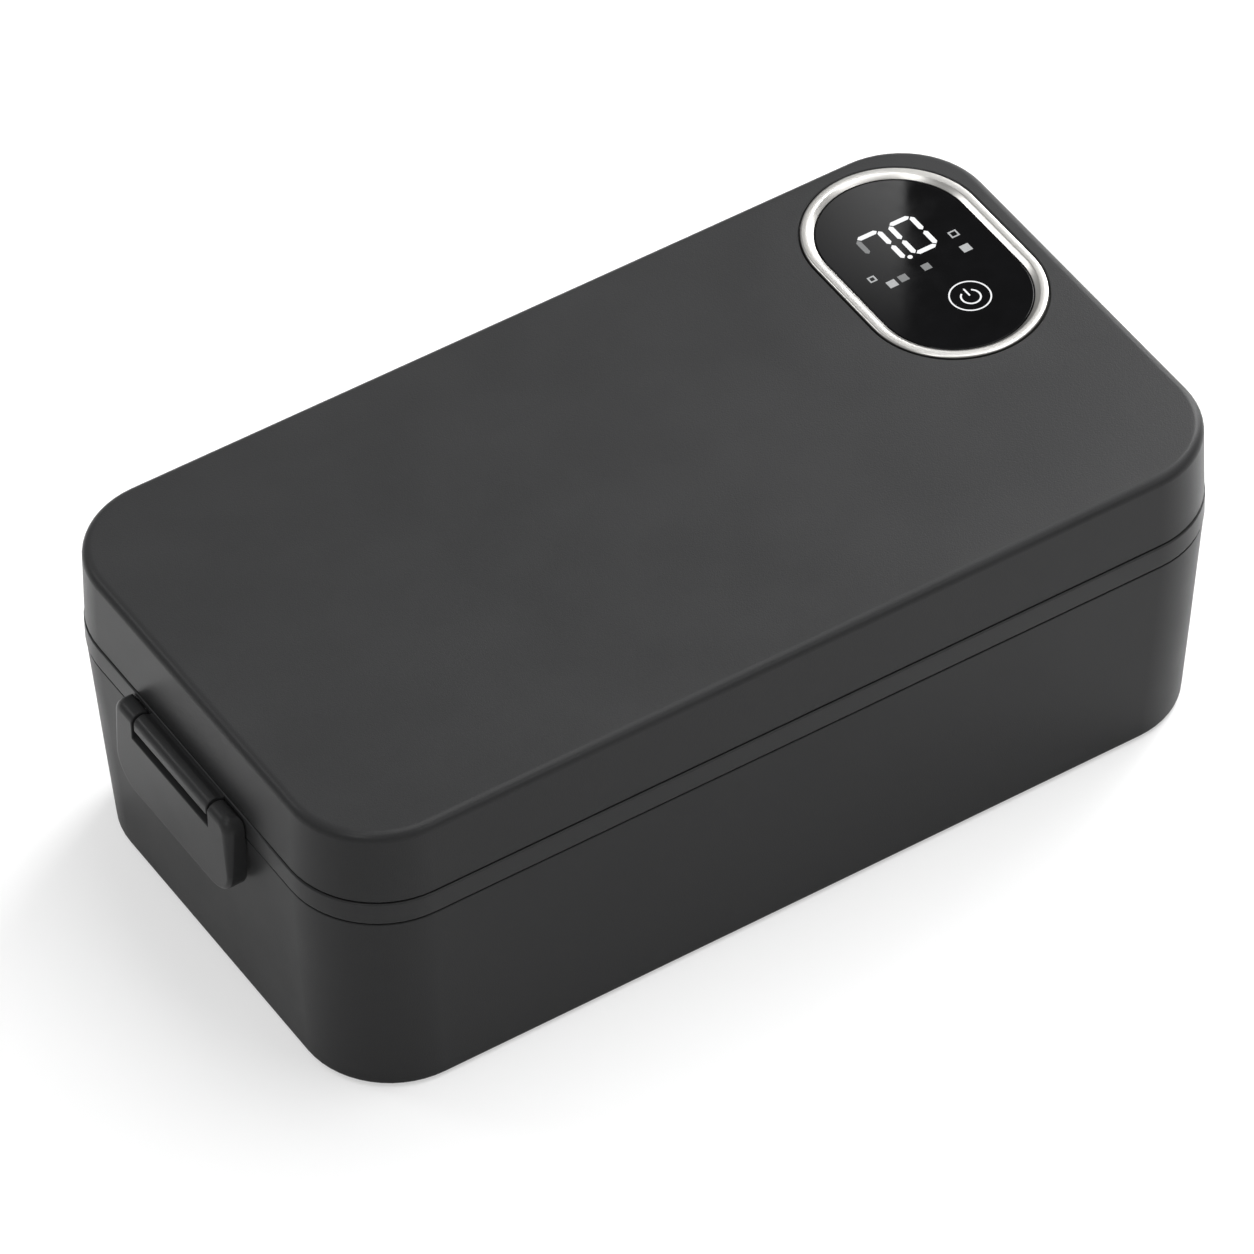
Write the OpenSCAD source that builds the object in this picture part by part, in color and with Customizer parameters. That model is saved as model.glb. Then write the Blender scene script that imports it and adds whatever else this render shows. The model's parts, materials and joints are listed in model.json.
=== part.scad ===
// Cordless heated lunch box: one case with a food pot over a heating plate, a hinged lid with a
// display, and a latch at the far end. The origin is on the table under the middle of the case,
// +X runs along the case to the hinge end, +Y to the back and +Z up.

/* [Case] */
// Length of the case at the opening line
case_l = 240; // [228:1:270]
// Width of the case at the opening line
case_w = 129; // [124:1:150]
// Corner radius of the case, seen from above
case_r = 23; // [21:0.5:27]
// Height of the base shell
base_h = 56.6; // [54:0.2:70]
// How far each side of the base leans in towards its bottom
base_draft = 3; // [1:0.1:3.6]
// Rounding of the base's bottom edge
base_edge = 1.2; // [0.6:0.1:1.6]
// Thickness of the case's walls
wall = 2.4; // [2:0.1:2.8]
// Open gap along each of the two parting lines
seam = 0.3; // [0.2:0.05:0.4]

/* [Lid] */
// Height of the lid frame, the band above the opening line
band_h = 6.3; // [6:0.1:8]
// How far the band stands out from the walls
band_proud = 0.2; // [0:0.05:0.3]
// Height of the lid cover above the band
cover_h = 20.5; // [20:0.5:28]
// How far each side of the lid cover leans in towards its top
cover_draft = 0.4; // [0.2:0.1:1]
// Rounding of the lid's top edge
cover_edge = 3; // [2:0.1:4]
// Thickness of the frame's inner flange
flange_t = 2; // [1.6:0.1:2.4]
// Width of the frame's inner flange
flange_w = 9; // [8:0.5:10]
// Thickness of the inner plate
plate_t = 1.6; // [1.2:0.1:2]
// Height of the foam in the lid
foam_h = 6.8; // [4:0.2:7.4]

/* [Display] */
// Distance from the hinge end to the display ring
disp_in_x = 5.5; // [5:0.5:18]
// Distance from the back wall to the display ring
disp_in_y = 5.3; // [4.5:0.1:16]
// Width of the display ring, along the case
disp_w = 44; // [42:0.5:48]
// Length of the display ring, across the case
disp_l = 68; // [62:0.5:72]
// Width of the ring's metal
ring_w = 3.2; // [2.6:0.1:3.8]
// Height of the ring
ring_h = 2; // [1.6:0.1:2.4]
// How far the ring stands out of the lid
ring_proud = 0.4; // [0.2:0.1:0.8]
// Thickness of the display glass
glass_t = 1.5; // [1:0.1:1.8]
// Depth of the glass below the ring's top
glass_sink = 0.9; // [0.5:0.1:1.2]
// Depth of the tray under the glass
tray_h = 7.8; // [7:0.1:8.4]

/* [Latch] */
// Sideways place of the latch
latch_y = 2; // [-4:0.5:4]
// Width of the latch flap
latch_w = 49.5; // [44:0.5:60]
// Length of the flap below its pin
latch_drop = 22.3; // [18:0.1:26]
// How far the latch stands out from the wall
latch_proud = 5.4; // [5:0.1:6.4]
// Corner radius of the flap
latch_r = 8.5; // [5:0.5:10]
// Thickness of the flap's plate and side walls
latch_t = 2; // [1.6:0.1:2.2]
// Width of the barrel that carries the latch pin
barrel_w = 31.4; // [26:0.2:34]
// Height of the latch pin above the opening line
latch_rise = 4.6; // [4.4:0.1:4.8]

/* [Hinge] */
// Width of the whole hinge
hinge_w = 60; // [56:1:70]
// Width of each outer knuckle on the base
knuckle_w = 10; // [8:0.5:12]
// Width of the middle knuckle on the base
middle_w = 13.4; // [12:0.2:16]
// How far the hinge stands out from the wall
hinge_proud = 5.4; // [5:0.1:6.4]
// Radius of the hinge and latch pins
pin_r = 1.2; // [1:0.05:1.3]

/* [Pot and heater] */
// Distance from the case's side to the pot's wall
pot_margin = 14.5; // [14:0.5:18]
// Corner radius of the pot
pot_r = 16; // [13:0.5:18]
// Thickness of the pot's steel
pot_t = 0.8; // [0.6:0.1:1]
// Width of the pot's rim
rim_w = 4.5; // [4:0.1:5]
// Thickness of the well's plastic
well_t = 1.8; // [1.4:0.1:2]
// Thickness of the heating plate's raised face and its flange together
heat_t = 3.8; // [3.4:0.1:4.4]
// Width of the heating plate's flange
heat_flange = 3; // [2.5:0.1:4]
// Distance from the pot's wall to the heating plate's flange
heat_margin = 10.5; // [10:0.5:14]
// Thickness of the heater film
film_t = 1; // [0.8:0.1:1.4]
// Thickness of the insulation under the heater
pad_t = 3; // [2:0.1:3.4]

/* [Battery and board] */
// Number of battery cells
cells = 3; // [2:1:3]
// Length of a cell along the case
cell_l = 44; // [36:1:46]
// Width of a cell across the case
cell_w = 84; // [70:1:86]
// Thickness of a cell
cell_t = 10; // [8:0.5:10]
// Thickness of the holder's walls and floor
holder_t = 1.2; // [1:0.1:1.5]
// Room for the leads between the battery and the power board
lead_room = 12.2; // [10:0.2:20]
// Distance from each end wall to the battery and to the board
end_room = 8.8; // [8:0.1:12]
// Width of the power board
board_w = 84; // [76:1:86]
// Thickness of the circuit boards
board_t = 1.6; // [1:0.1:1.8]
// Height of the board above the bottom cover
board_lift = 3; // [2.5:0.1:4]
// Thickness of the bottom cover
bottom_t = 2.4; // [2:0.1:3]
// Sideways place of the charging socket
socket_y = -38; // [-42:1:-36]
// Radius of the charging socket's body
socket_r = 4.6; // [4:0.1:5]

/* [Feet and screws] */
// Radius of the rubber feet
foot_r = 7; // [5:0.5:9]
// How far the feet stand out below
foot_proud = 0.8; // [0.5:0.1:1.2]
// Depth of the feet in the bottom cover
foot_sink = 1.2; // [0.8:0.1:1.4]
// Distance of the feet from the case's ends and sides
foot_in = 25; // [23:0.5:30]
// Radius of the screw posts
post_r = 3.4; // [3.2:0.1:3.6]
// Height of the screw posts
post_h = 8; // [7:0.5:9]
// Radius of the case screws
screw_r = 1.4; // [1.2:0.1:1.5]
// Length of the case screws
screw_l = 9; // [8:0.5:10]

/* [Hidden] */
$fn = 64;
fit = 0.2;
run = 0.05;
cut = 1;
blend = 0.4;
edge_steps = 6;
head_ratio = 1.8;
tip_gap = 0.4;

table = 0;
base_z = table + foot_proud;
base_top = base_z + base_h;
band_z = base_top + seam;
band_top = band_z + band_h;
cover_z = band_top + seam;
case_top = cover_z + cover_h;

low_l = case_l - 2 * (base_draft + wall);
low_w = case_w - 2 * (base_draft + wall);
low_r = case_r - base_draft - wall;
in_l = case_l - 2 * wall;
in_w = case_w - 2 * wall;
in_r = case_r - wall;
wall_x = case_l / 2;

hinge_r = hinge_proud / 2;
hinge_x = wall_x + hinge_proud / 2;
hinge_z = base_top + seam / 2;
hinge_gap = 0.3;
lid_knuckle = (hinge_w - 2 * knuckle_w - middle_w - 4 * hinge_gap) / 2;
lid_knuckle_y = middle_w / 2 + hinge_gap + lid_knuckle / 2;
pin_hole_r = pin_r + run;
wire_r = 0.7;
wire_hole_r = 1;
lead_r = 0.5;
wire_run = 7;
wire_drop = 9.6;
wire_in = 7.5;
wire_from_split = 2.75;
wire_bend = 8;
lid_wire_run = 7.7;
lid_wire_rise = 10.56;
fin = 6.2;
fin_end = 0.7;
fin_turn = 64;
lid_wire_y = middle_w / 2 + hinge_gap + wire_from_split;
base_wire_y = middle_w / 2 - wire_from_split;
hinge_pin_l = hinge_w / 2 - lid_wire_y - 2 * wire_hole_r;

barrel_r = latch_proud / 2;
latch_x = -wall_x - latch_proud / 2;
latch_z = base_top + latch_rise;
latch_gap = 0.7;
latch_clear = 0.5;
barrel_flat = 1.5;
notch_drop = 4.3;
latch_pin_r = 0.8;
latch_pin_l = latch_w - 2 * latch_t;
hook_h = 2;
flap_z = latch_z - latch_drop;
catch_drop = 8;
catch_z = base_top - catch_drop;
catch_h = 1.8;
catch_reach = 1.6;

plate_z = band_top - flange_t - plate_t;
well_drop = 0.4;
well_flange_t = 2;
rim_z = base_top - well_drop;
ledge_t = 2;
ledge_w = 3;
pot_l = case_l - 2 * pot_margin;
pot_w = case_w - 2 * pot_margin;
pot_gap = 0.8;
pot_draft = 1.5;
pot_edge = 5;
heat_l = pot_l - 2 * heat_margin;
heat_w = pot_w - 2 * heat_margin;
heat_r = pot_r - pot_edge;
holder_z = base_z + bottom_t;
tab_room = 1.3;
cell_z = holder_z + holder_t + fit / 2;
pad_z = cell_z + cell_t + tab_room;
film_z = pad_z + pad_t;
heat_z = film_z + film_t;
heat_top = heat_z + heat_t;
pot_depth = rim_z - heat_top - run;
well_floor = heat_top - fit;
well_gap_l = heat_l - 2 * heat_flange;
well_gap_w = heat_w - 2 * heat_flange;
seal_w = 3;
seal_gap = 0.15;
seal_rib = 1.2;
seal_h = 1.4;
seal_l = pot_l + 2 * rim_w - 3 * fit;
seal_wide = pot_w + 2 * rim_w - 3 * fit;
seal_r = pot_r + rim_w - 1.5 * fit;
lip_t = 1.2;
lip_h = 2.2;
sensor_r = 2.5;
fuse_r = 1.4;
fuse_l = 14;

disp_x = wall_x - disp_in_x - disp_w / 2;
disp_y = case_w / 2 - disp_in_y - disp_l / 2;
ring_top = case_top + ring_proud;
ring_z = ring_top - ring_h;
ring_gap = 0.4;
ring_ledge = 2.2;
glass_z = ring_top - glass_sink - glass_t;
tray_z = glass_z - tray_h;
tray_t = 1.5;
tray_out = disp_w / 2 - ring_ledge - 1.5 * fit;
pad_below = 1.6;
pad_wide = 2.5;
pad_bottom = case_top - wall - pad_below;
tray_lug_r = 3;
lug_t = 2;
lug_d = disp_w / 2;
lug_turn = 55;
lug_spots = [for (x = [-1, 1], y = [-1, 1])
    [disp_x + x * lug_d * cos(lug_turn), disp_y + y * ((disp_l - disp_w) / 2 + lug_d * sin(lug_turn))]];
small_screw_r = 0.9;
ring_round = 0.5;
ring_slope = 1.3;
disp_board_z = tray_z + tray_t + blend;
digit_w = 5.6;
digit_h = 11.4;
bar_w = 1.2;
bar_gap = 0.5;
digit_rim = 1.2;
digit_pitch = 8.9;
digit_left = 5.5;
digit_up = 9.5;
digit_x = disp_x - digit_left;
digit_y = disp_y + digit_up;
icon_w = 2.4;
icon_gap = 2.8;
icon_over = 6;
key_right = 2.8;
key_down = 14.8;
key_x = disp_x + key_right;
key_y = disp_y - key_down;
key_r = 5.2;
harness_right = 8;
harness_down = 22;
harness_x = disp_x + harness_right;
harness_y = disp_y - harness_down;

cell_pitch = cell_l + holder_t + fit;
cell_r = 2;
holder_l = cells * cell_pitch + holder_t;
holder_w = cell_w + 2 * holder_t + fit;
holder_x = -low_l / 2 + end_room + holder_l / 2;
tab_in = 6;
tab_w = 6;
tab_over = 8;
tab_t = 0.4;

board_l = low_l - 2 * end_room - holder_l - lead_room;
board_x = low_l / 2 - end_room - board_l / 2;
board_z = holder_z + board_lift;
board_top = board_z + board_t;
board_hole_x = 5;
board_hole_y = 12;
coil_x = board_x - 0.2 * board_l;
coil_y = 9;
coil_r = 6.5;
coil_h = 6;
chip_x = board_x + 0.14 * board_l;
chip_l = 9;
chip_w = 8;
chip_h = 2.4;
cap_x = board_x + 0.3 * board_l;
cap_y = 14;
cap_r = 4;
cap_h = 7;
header_l = 6;
header_h = 6;
header_in = 1;
cell_header_w = 12;
lid_header_w = 8;
lid_header_x = board_x + board_l / 2 - 3;
cell_lead_y = 3;
sensor_x = board_x - 0.32 * board_l;
fuse_x = board_x;
heater_lead_x = board_x - 0.39 * board_l;
heater_lead_y = 16;

bezel_w = 1.6;
bezel_t = 1;
bezel_gap = (socket_r + bezel_w) * base_draft / base_h + run / 2;
socket_z = board_top + socket_r + 2 * fit;
socket_l = 13;
plug_r = 3.2;
plug_l = 9.5;
contact_r = 1.05;

foot_spots = [for (x = [-1, 1], y = [-1, 1])
    [x * (case_l / 2 - foot_in), y * (case_w / 2 - foot_in)]];
board_spots = [for (x = [-1, 1], y = [-1, 1])
    [board_x + x * (board_l / 2 - board_hole_x), y * (board_w / 2 - board_hole_y)]];
well_posts = [for (x = [-1, 1], y = [-1, 1])
    [x * case_l / 4, y * (in_w / 2 - post_r + blend)]];

// Outlines seen from above

module rounded(l, w, r) {
    square([l - 2 * r, w], center = true);
    square([l, w - 2 * r], center = true);
    for (x = [-1, 1], y = [-1, 1])
        translate([x * (l / 2 - r), y * (w / 2 - r)]) circle(r);
}

module slab(l, w, r, z1, z2) {
    translate([0, 0, z1]) linear_extrude(z2 - z1) rounded(l, w, r);
}

module loop(l, w, r, t, z1, z2) {
    difference() {
        slab(l, w, r, z1, z2);
        slab(l - 2 * t, w - 2 * t, r - t, z1 - cut, z2 + cut);
    }
}

module stadium(r, straight) {
    square([2 * r, straight], center = true);
    for (y = [-1, 1])
        translate([0, y * straight / 2]) circle(r);
}

module disp_slab(r, z1, z2) {
    translate([disp_x, disp_y, z1])
        linear_extrude(z2 - z1) stadium(r, disp_l - disp_w);
}

// A side outline carried round a rounded rectangle, its x counted outwards from the corner's centre
module carried(l, w, r) {
    x = l / 2 - r;
    y = w / 2 - r;
    for (turn = [0, 180])
        rotate(turn) {
            translate([x, y, 0]) rotate_extrude(angle = 90) children();
            translate([-x, y, 0]) rotate(90) rotate_extrude(angle = 90) children();
            translate([-x, y, 0]) rotate([90, 0, 90]) linear_extrude(2 * x) children();
            translate([x, y, 0]) rotate([90, 0, 0]) linear_extrude(2 * y) children();
        }
}

// The block inside the corners' centres, which a carried outline starts from
module middle(l, w, r, z1, z2) {
    translate([r - l / 2, r - w / 2, z1]) cube([l - 2 * r, w - 2 * r, z2 - z1]);
}

function arc(x, y, r, from, to, steps = edge_steps) =
    [for (i = [0:steps]) let (a = from + (to - from) * i / steps) [x + r * cos(a), y + r * sin(a)]];

// A cup with leaning walls and a rounded bottom edge, its top at z = 0
module cup(l, w, r, depth, t, draft, edge) {
    low = r - draft;
    middle(l, w, r, -depth, t - depth);
    carried(l, w, r)
        polygon(concat(
            [[0, -depth]],
            arc(low - edge, edge - depth, edge, -90, 0),
            [[r, 0], [r - t, 0]],
            arc(low - edge, edge - depth, edge - t, 0, -90),
            [[0, t - depth]]));
}

// Screws, posts, rods and wires

// Places of posts that touch a rounded wall from inside, at its corners and halfway along its sides
function post_spots(l, w, r) =
    let (d = r - post_r + blend)
    concat(
        [for (x = [-1, 1], y = [-1, 1])
            [x * (l / 2 - r + d * cos(45)), y * (w / 2 - r + d * sin(45))]],
        [for (y = [-1, 1]) [0, y * (w / 2 - r + d)]]);

base_posts = post_spots(low_l, low_w, low_r);
lid_posts = post_spots(in_l, in_w, in_r);

module screw(length, r) {
    head = head_ratio * r;
    difference() {
        union() {
            cylinder(h = length, r = r);
            cylinder(h = r, r1 = head, r2 = r);
        }
        for (turn = [0, 90])
            rotate(turn) cube([head, r / 3, r], center = true);
    }
}

module screw_hole(length, r) {
    translate([0, 0, -cut]) cylinder(h = length + cut, r = r + fit);
    translate([0, 0, -cut]) cylinder(h = cut, r = head_ratio * r + fit);
    cylinder(h = r, r1 = head_ratio * r + fit, r2 = r + fit);
}

module rod(from, to, r) {
    d = to - from;
    translate(from)
        rotate([0, acos(d.z / norm(d)), atan2(d.y, d.x)]) cylinder(h = norm(d), r = r);
}

module wire(points, r) {
    for (i = [0:len(points) - 2])
        rod(points[i], points[i + 1], r);
    for (i = [1:len(points) - 2])
        translate(points[i]) sphere(r + run);
}

module along_y(x, y, z, length, r) {
    translate([x, y + length / 2, z]) rotate([90, 0, 0]) cylinder(h = length, r = r);
}

// A hinge knuckle with the fin that joins it to the wall: up = 1 on the lid, -1 on the base
module knuckle(y, w, up) {
    translate([hinge_x, y + w / 2, hinge_z])
        rotate([90, 0, 0])
            linear_extrude(w) {
                circle(hinge_r);
                polygon([
                    [-hinge_r - wall / 2, 0], [-hinge_r - wall / 2, up * fin],
                    [-hinge_r + fin_end, up * fin],
                    [hinge_r * cos(fin_turn), up * hinge_r * sin(fin_turn)], [0, 0]]);
            }
}

// Base

// Half the case's length at a height
function wall_at(z) = case_l / 2 - base_draft * (1 - (z - base_z) / base_h);

module socket_rod(from, to, r) {
    x = wall_at(socket_z);
    translate([x + from, socket_y, socket_z]) rotate([0, 90, 0]) cylinder(h = to - from, r = r);
}

module base_shell() {
    color("#3b3c3d")
    difference() {
        union() {
            difference() {
                carried(case_l, case_w, case_r)
                    polygon(concat(
                        arc(case_r - base_draft - base_edge, base_z + base_edge, base_edge, -90, 0),
                        [[case_r, base_top], [in_r, base_top], [low_r, base_z]]));
                for (y = [-1, 1])
                    along_y(hinge_x, y * lid_knuckle_y, hinge_z, lid_knuckle + 2 * hinge_gap,
                        hinge_r + hinge_gap);
            }
            loop(in_l + blend, in_w + blend, in_r + blend / 2, ledge_w + blend / 2,
                rim_z - well_flange_t - ledge_t, rim_z - well_flange_t);
            for (p = base_posts)
                translate([p.x, p.y, holder_z]) cylinder(h = post_h, r = post_r);
            for (p = well_posts)
                translate([p.x, p.y, rim_z - well_flange_t - post_h]) cylinder(h = post_h, r = post_r);
            for (y = [-1, 1])
                knuckle(y * (hinge_w - knuckle_w) / 2, knuckle_w, -1);
            knuckle(0, middle_w, -1);
            translate([-wall_x - catch_reach, latch_y - barrel_w / 2, catch_z - catch_h])
                cube([catch_reach + wall / 2, barrel_w, catch_h]);
        }
        for (p = base_posts)
            translate([p.x, p.y, holder_z - cut])
                cylinder(h = screw_l + tip_gap - bottom_t + cut, r = screw_r + run);
        for (p = well_posts)
            translate([p.x, p.y, rim_z - screw_l - tip_gap])
                cylinder(h = screw_l, r = screw_r + run);
        for (y = [-1, 1])
            along_y(hinge_x, y * (hinge_w - knuckle_w) / 2, hinge_z, knuckle_w + 2 * cut, pin_hole_r);
        rod([hinge_x, base_wire_y - wire_hole_r, hinge_z],
            [hinge_x, middle_w / 2 + hinge_gap / 2, hinge_z], wire_hole_r);
        rod([hinge_x, base_wire_y, hinge_z],
            [hinge_x - wire_run, base_wire_y, hinge_z - wire_drop], wire_hole_r);
        socket_rod(-2 * wall, wall, socket_r + fit);
    }
}

module bottom_cover() {
    color("#343536")
    difference() {
        union() {
            slab(low_l - 2 * fit, low_w - 2 * fit, low_r - fit, base_z, holder_z);
            for (p = board_spots)
                translate([p.x, p.y, holder_z]) cylinder(h = board_lift, r = post_r);
        }
        for (p = base_posts)
            translate([p.x, p.y, base_z]) screw_hole(bottom_t + cut, screw_r);
        for (p = foot_spots)
            translate([p.x, p.y, base_z - cut]) cylinder(h = foot_sink + cut, r = foot_r + fit);
        for (p = board_spots)
            translate([p.x, p.y, holder_z]) cylinder(h = board_lift + cut, r = screw_r + run);
    }
}

module cover_screws() {
    color("silver")
    for (p = base_posts)
        translate([p.x, p.y, base_z]) screw(screw_l, screw_r);
}

module rubber_feet() {
    color("#1c1c1c")
    for (p = foot_spots)
        translate([p.x, p.y, table]) cylinder(h = foot_proud + foot_sink, r = foot_r);
}

module battery_holder() {
    color("#26282a")
    difference() {
        slab_at(holder_x, holder_l, holder_w, holder_z, cell_z + cell_t / 2);
        for (i = [0:cells - 1])
            translate([cell_x(i) - (cell_l + fit) / 2, -(cell_w + fit) / 2, holder_z + holder_t])
                cube([cell_l + fit, cell_w + fit, cell_t]);
    }
}

function cell_x(i) = holder_x + (i - (cells - 1) / 2) * cell_pitch;

module slab_at(x, l, w, z1, z2) {
    translate([x, 0, 0]) slab(l, w, cell_r, z1, z2);
}

module battery_cells() {
    color("#7d8aa0")
    for (i = [0:cells - 1])
        slab_at(cell_x(i), cell_l, cell_w, cell_z, cell_z + cell_t);
}

module cell_tabs() {
    color("#c9c5b4")
    for (i = [0:cells - 2])
        translate([
            cell_x(i) + cell_l / 2 - tab_over,
            (i % 2 == 0 ? 1 : -1) * (cell_w / 2 - tab_in - tab_w / 2) - tab_w / 2,
            cell_z + cell_t])
            cube([cell_pitch - cell_l + 2 * tab_over, tab_w, tab_t]);
}

module power_board() {
    color("#1f5a35")
    difference() {
        slab_at(board_x, board_l, board_w, board_z, board_z + board_t);
        for (p = board_spots)
            translate([p.x, p.y, board_z - cut]) cylinder(h = board_t + 2 * cut, r = screw_r + fit);
    }
    color("#2a2a2a")
    for (y = [-1, 1])
        translate([coil_x, y * coil_y, board_top]) cylinder(h = coil_h, r = coil_r);
    color("#30322f")
    for (i = [-1.5:1.5])
        translate([chip_x - chip_l / 2, (2 * i - 0.5) * chip_w, board_top]) cube([chip_l, chip_w, chip_h]);
    color("#e6e2d6") {
        translate([board_x - board_l / 2 + header_in, -cell_header_w / 2, board_top])
            cube([header_l, cell_header_w, header_h]);
        translate([lid_header_x - header_l, base_wire_y - lid_header_w / 2, board_top])
            cube([header_l, lid_header_w, header_h]);
    }
    color("#3d4f78")
    for (y = [-1, 1])
        translate([cap_x, y * cap_y, board_top]) cylinder(h = cap_h, r = cap_r);
}

module board_screws() {
    color("silver")
    for (p = board_spots)
        translate([p.x, p.y, board_z + board_t + screw_r])
            rotate([180, 0, 0]) screw(board_t + board_lift, screw_r);
}

module charging_socket() {
    color("#151515")
    difference() {
        union() {
            socket_rod(-socket_l, bezel_gap, socket_r);
            socket_rod(bezel_gap, bezel_gap + bezel_t, socket_r + bezel_w);
        }
        socket_rod(bezel_gap + bezel_t - plug_l, bezel_gap + bezel_t + cut, plug_r);
    }
    color("silver") socket_rod(-socket_l + cut, bezel_gap - cut, contact_r);
}

module battery_leads() {
    z = cell_z + 0.8 * cell_t;
    color("#a02020")
    for (y = [-cell_lead_y, cell_lead_y])
        rod([cell_x(cells - 1) + cell_l / 2 + run, y, z],
            [board_x - board_l / 2 + header_in - run, y, z], lead_r);
}

module heater_leads() {
    color("#c8c8c8")
    for (y = [-1, 1])
        rod([heater_lead_x, y * heater_lead_y, board_top + run],
            [heater_lead_x, y * heater_lead_y, film_z - run], wire_r);
}

module insulation_pad() {
    color("#d8d3c4")
    difference() {
        slab(heat_l, heat_w, heat_r, pad_z, film_z);
        translate([sensor_x, 0, pad_z - cut]) cylinder(h = pad_t + 2 * cut, r = sensor_r + fit);
        translate([fuse_x - fuse_r - fit, -fuse_l / 2 - fit, pad_z - cut])
            cube([2 * (fuse_r + fit), fuse_l + 2 * fit, pad_t + 2 * cut]);
        for (y = [-1, 1])
            translate([heater_lead_x, y * heater_lead_y, pad_z - cut])
                cylinder(h = pad_t + 2 * cut, r = wire_hole_r);
    }
}

module heater_film() {
    color("#b5572f")
    difference() {
        slab(heat_l, heat_w, heat_r, film_z, heat_z);
        translate([sensor_x, 0, film_z - cut]) cylinder(h = film_t + 2 * cut, r = sensor_r + fit);
    }
}

module heating_plate() {
    color("#b8babd") {
        slab(heat_l, heat_w, heat_r, heat_z, well_floor - well_t);
        slab(well_gap_l - 2 * fit, well_gap_w - 2 * fit, heat_r - heat_flange - fit,
            heat_z, heat_top);
    }
}

module temperature_sensor() {
    color("#d7d2c2")
    translate([sensor_x, 0, pad_z + fit]) cylinder(h = heat_z - pad_z - fit, r = sensor_r);
}

module thermal_fuse() {
    color("#c9a86a")
    along_y(fuse_x, 0, film_z - fuse_r, fuse_l, fuse_r);
}

module heating_well() {
    color("#8c8f92")
    difference() {
        union() {
            slab(in_l - 2 * fit, in_w - 2 * fit, in_r - fit, rim_z - well_flange_t, rim_z);
            slab(pot_l + 2 * (pot_gap + well_t), pot_w + 2 * (pot_gap + well_t),
                pot_r + pot_gap + well_t, well_floor - well_t, rim_z);
        }
        slab(pot_l + 2 * pot_gap, pot_w + 2 * pot_gap, pot_r + pot_gap, well_floor, rim_z + cut);
        slab(pot_l + 2 * (rim_w + fit), pot_w + 2 * (rim_w + fit), pot_r + rim_w + fit,
            rim_z - pot_t, rim_z + cut);
        slab(well_gap_l, well_gap_w, heat_r - heat_flange, well_floor - well_t - cut, rim_z);
        for (p = well_posts)
            translate([p.x, p.y, rim_z]) rotate([180, 0, 0]) screw_hole(well_flange_t + cut, screw_r);
    }
}

module food_pot() {
    color("#c4c6c8")
    union() {
        translate([0, 0, rim_z]) cup(pot_l, pot_w, pot_r, pot_depth, pot_t, pot_draft, pot_edge);
        loop(pot_l + 2 * rim_w, pot_w + 2 * rim_w, pot_r + rim_w, rim_w + pot_t, rim_z - pot_t, rim_z);
    }
}

module well_screws() {
    color("silver")
    for (p = well_posts)
        translate([p.x, p.y, rim_z]) rotate([180, 0, 0]) screw(screw_l, screw_r);
}

module base_harness() {
    color("#2b2b2b")
    wire([
        [hinge_x, middle_w / 2 - run, hinge_z],
        [hinge_x, base_wire_y, hinge_z],
        [hinge_x - wire_run, base_wire_y, hinge_z - wire_drop],
        [wall_x - wire_in, base_wire_y, hinge_z - 2 * wire_drop],
        [wall_x - wire_in, base_wire_y, board_top + header_h / 2 + wire_bend],
        [wall_x - wire_in - wire_bend, base_wire_y, board_top + header_h / 2],
        [lid_header_x + run, base_wire_y, board_top + header_h / 2]], wire_r);
}

module hinge_pins() {
    color("silver")
    for (y = [-1, 1])
        along_y(hinge_x, y * (hinge_w - hinge_pin_l) / 2, hinge_z, hinge_pin_l, pin_r);
}

// Lid

module hinge_reliefs() {
    for (y = [-1, 1])
        along_y(hinge_x, y * (hinge_w - knuckle_w) / 2, hinge_z, knuckle_w + 2 * hinge_gap,
            hinge_r + hinge_gap);
    along_y(hinge_x, 0, hinge_z, middle_w + 2 * hinge_gap, hinge_r + hinge_gap);
}

module lid_wire_hole() {
    rod([hinge_x, lid_wire_y, hinge_z],
        [hinge_x - lid_wire_run, lid_wire_y, hinge_z + lid_wire_rise], wire_hole_r);
}

module latch_barrel() {
    translate([latch_x, latch_y + barrel_w / 2, latch_z])
        rotate([90, 0, 0])
            linear_extrude(barrel_w)
                difference() {
                    union() {
                        circle(barrel_r);
                        translate([0, -barrel_r])
                            square([barrel_r + wall / 2, barrel_r + band_top - latch_z - fit]);
                    }
                    translate([-2 * barrel_r, -barrel_flat - 2 * barrel_r])
                        square([4 * barrel_r, 2 * barrel_r]);
                }
}

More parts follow.
